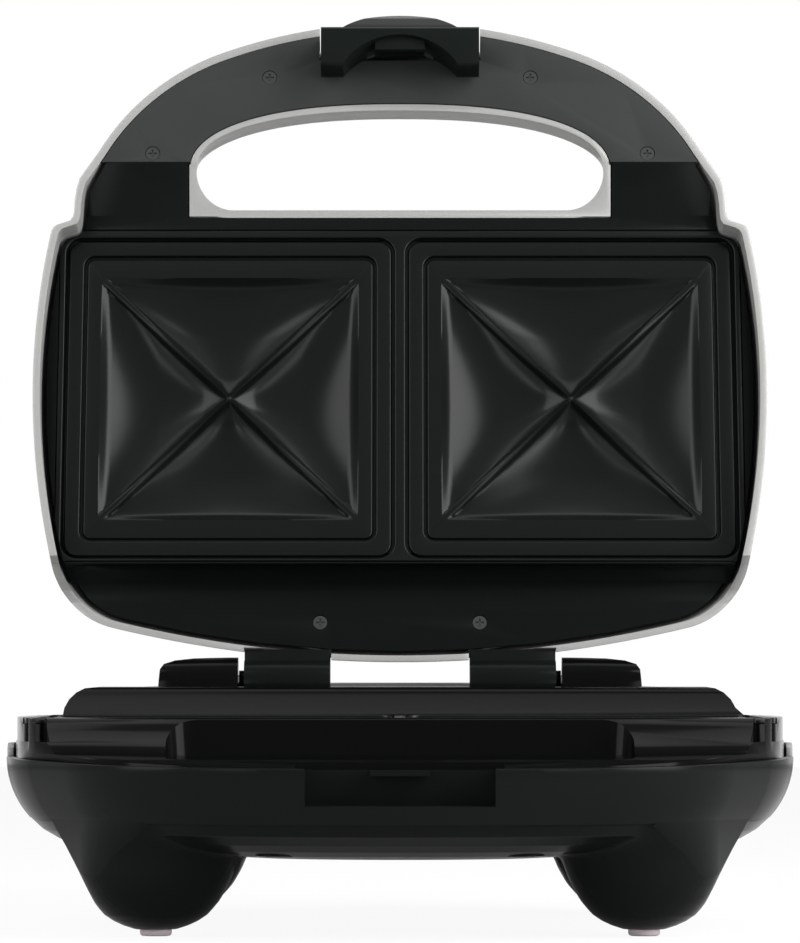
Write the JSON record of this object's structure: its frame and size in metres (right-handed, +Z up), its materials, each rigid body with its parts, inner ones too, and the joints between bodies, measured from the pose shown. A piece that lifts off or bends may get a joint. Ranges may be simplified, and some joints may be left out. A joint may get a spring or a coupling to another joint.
{
  "type": "sandwich toaster",
  "caption": "Sandwich toaster with an arched carrying handle, hinged lid, moulded non-stick plates with diagonal cutting ribs and a clip latch, standing open on bowl-shaped legs.",
  "frame": {"origin": "on the counter, under the middle of the open toaster's bounding box", "axes": "+X to the right seen from the front, +Y from the front to the hinge side, +Z up; the lid is open as in the picture"},
  "size_m": [0.25, 0.3056, 0.3101],
  "materials": {
    "black_plastic": "fine satin grain",
    "gloss_black_plastic": "glossy",
    "silver_plastic": "silver lacquer, satin",
    "grey_plastic": "satin",
    "coated_casting": "black non-stick coating, satin",
    "element_steel": "dull",
    "sheet_steel": "bright sheet",
    "screw_steel": "zinc plated",
    "ceramic": "matt",
    "foot_rubber": "matt",
    "red_lens": "glossy lens",
    "green_lens": "glossy lens"
  },
  "bodies": {
    "base": {"base_cover": "black_plastic", "base_trim": "silver_plastic", "base_frame": "gloss_black_plastic", "lower_plate": "coated_casting", "lower_element": "element_steel", "lower_reflector": "sheet_steel", "thermostat": "ceramic", "thermal_fuse": "ceramic", "terminal_block": "ceramic", "cord_gland": "black_plastic", "lower_plate_screws": "screw_steel", "base_screws": "screw_steel", "foot_front_left": "foot_rubber", "foot_front_right": "foot_rubber", "foot_rear_left": "foot_rubber", "foot_rear_right": "foot_rubber", "hinge_pin_left": "screw_steel", "hinge_pin_right": "screw_steel"},
    "lid": {"lid_cover": "silver_plastic", "lid_frame": "gloss_black_plastic", "handle_panel": "grey_plastic", "upper_plate": "coated_casting", "upper_element": "element_steel", "upper_reflector": "sheet_steel", "upper_plate_screws": "screw_steel", "handle_screws": "screw_steel", "lid_screws": "screw_steel", "power_lens": "red_lens", "ready_lens": "green_lens", "lamp_holder": "ceramic", "latch_pin": "screw_steel", "latch_spring": "screw_steel"},
    "latch": {"latch": "black_plastic"}
  },
  "joints": [
    {"name": "lid_hinge", "type": "hinge", "parent": "base", "child": "lid", "pos_m": [0, 0.0816, 0.0771], "axis": [1, 0, 0], "range_deg": [0, 108]},
    {"name": "latch_pivot", "type": "hinge", "parent": "lid", "child": "latch", "pos_m": [0, 0.13924, 0.29495], "axis": [1, 0, 0], "range_deg": [-10, 5], "stiffness_Nm_per_rad": 0.4}
  ]
}
